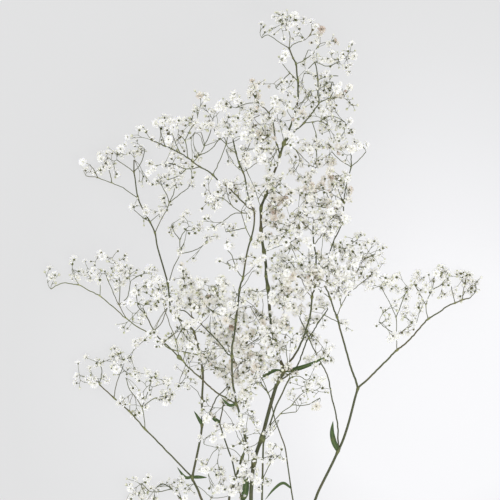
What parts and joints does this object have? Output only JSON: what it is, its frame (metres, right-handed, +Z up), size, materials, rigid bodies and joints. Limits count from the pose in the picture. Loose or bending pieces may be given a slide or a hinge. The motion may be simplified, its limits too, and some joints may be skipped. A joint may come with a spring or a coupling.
{
  "type": "gypsophila stem",
  "caption": "Cut, finely branched gypsophila stem with clouds of small double white flowers and buds, lying on its side for sprays, vases and dried arrangements.",
  "frame": {"origin": "on the surface that the stem lies on, under the middle of its bounding box", "axes": "+Z up from the surface, +Y along the stem from its cut end to its top, +X to the right of the stem as seen from above with its top away from the viewer"},
  "size_m": [0.3086, 0.4904, 0.0874],
  "materials": {
    "stem": "smooth, slightly waxy green stem",
    "leaf": "soft matt green blade",
    "spray": "thin white petals on green threads"
  },
  "bodies": {
    "root": {"branch_bottom_left": "spray", "branch_centre": "spray", "branch_centre_low": "spray", "branch_left_cross": "spray", "branch_left_high": "spray", "branch_left_inner": "spray", "branch_left_low": "spray", "branch_left_middle": "spray", "branch_right_inner": "spray", "branch_right_long": "spray", "branch_right_top": "spray", "branch_right_upper": "spray", "branch_top_left": "spray", "branch_top_right": "spray", "branch_upper_left": "spray", "leaf_base": "leaf", "leaf_centre_left": "leaf", "leaf_centre_right": "leaf", "leaf_joint_centre": "leaf", "leaf_left_crescent": "leaf", "leaf_left_left": "leaf", "leaf_left_right": "leaf", "leaf_left_upper": "leaf", "leaf_right_joint": "leaf", "leaf_stem_left": "leaf", "leaf_stem_right": "leaf", "leaf_thin_stem": "leaf", "main_stem": "stem", "side_stem_centre": "stem", "side_stem_left": "stem", "side_stem_left_centre": "stem", "side_stem_right": "stem", "side_stem_short": "stem", "side_stem_thin": "stem", "spray_base": "spray", "spray_cross": "spray", "spray_crown": "spray", "spray_dark": "spray", "spray_heart": "spray", "spray_heart_left": "spray", "spray_high_left": "spray", "spray_left_far": "spray", "spray_left_fork": "spray", "spray_left_heart": "spray", "spray_left_low": "spray", "spray_left_mid": "spray", "spray_left_top": "spray", "spray_left_under": "spray", "spray_low_left": "spray", "spray_mid_left": "spray", "spray_right_high": "spray", "spray_right_inner": "spray", "spray_right_mid": "spray", "spray_right_outer": "spray", "spray_top_right": "spray", "spray_upper_left": "spray", "spray_upper_mid": "spray", "spray_upper_right": "spray", "spray_warm": "spray", "spray_white": "spray"}
  },
  "joints": []
}
